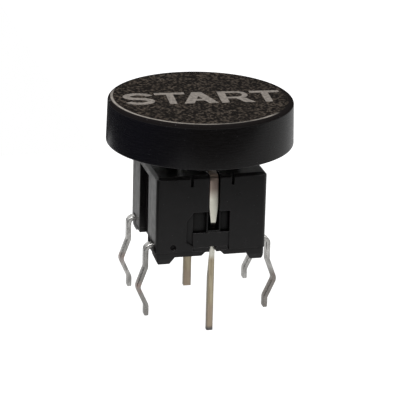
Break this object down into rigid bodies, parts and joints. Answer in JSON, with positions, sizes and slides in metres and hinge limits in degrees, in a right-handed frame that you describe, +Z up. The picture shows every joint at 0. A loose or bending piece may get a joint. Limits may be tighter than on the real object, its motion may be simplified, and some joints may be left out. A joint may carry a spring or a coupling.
{
  "type": "tactile push button switch",
  "caption": "Board-mounted tactile push button switch with a lamp inside, a wide round cap marked START, kinked snap-in terminals and straight lamp pins",
  "frame": {"origin": "On the cap's axis, in the plane of the circuit board's face, where the four feet stand", "axes": "+Z is up out of the board and the way the cap rises, -Y is the front with the long lamp pin, +X is to the right seen from the front"},
  "size_m": [0.0168, 0.0168, 0.0205],
  "materials": {
    "cap_plastic": "black moulded side with a soft gloss, spark-textured top with a pale grey legend",
    "milky_plastic": "milky white light-spreading plastic",
    "plunger_plastic": "smooth black sliding plastic",
    "housing_plastic": "matte black glass-filled plastic",
    "base_plastic": "matte black heat-resistant plastic",
    "tinned_brass": "tin-plated brass sheet, bright with soft grey bends",
    "spring_steel": "bright thin spring sheet",
    "clear_resin": "clear cast resin",
    "tinned_steel": "tinned wire, warmer and duller than the terminals",
    "chip_crystal": "tiny pale crystal",
    "gold_wire": "hair-fine gold wire"
  },
  "bodies": {
    "switch_body": {"cover": "housing_plastic", "base": "base_plastic", "front_contact": "tinned_brass", "rear_contact": "tinned_brass", "snap_dome": "spring_steel", "lamp_lens": "clear_resin", "anode_lead": "tinned_steel", "cathode_lead": "tinned_steel", "light_chip": "chip_crystal", "bond_wire": "gold_wire"},
    "button": {"keycap": "cap_plastic", "light_plate": "milky_plastic", "plunger": "plunger_plastic"}
  },
  "joints": [
    {"name": "button_press", "type": "slide", "parent": "switch_body", "child": "button", "axis": [0, 0, -1], "range_m": [0, 0.0003], "stiffness_N_per_m": 4000, "springref_m": -0.0001, "deforming": ["snap_dome"]}
  ]
}
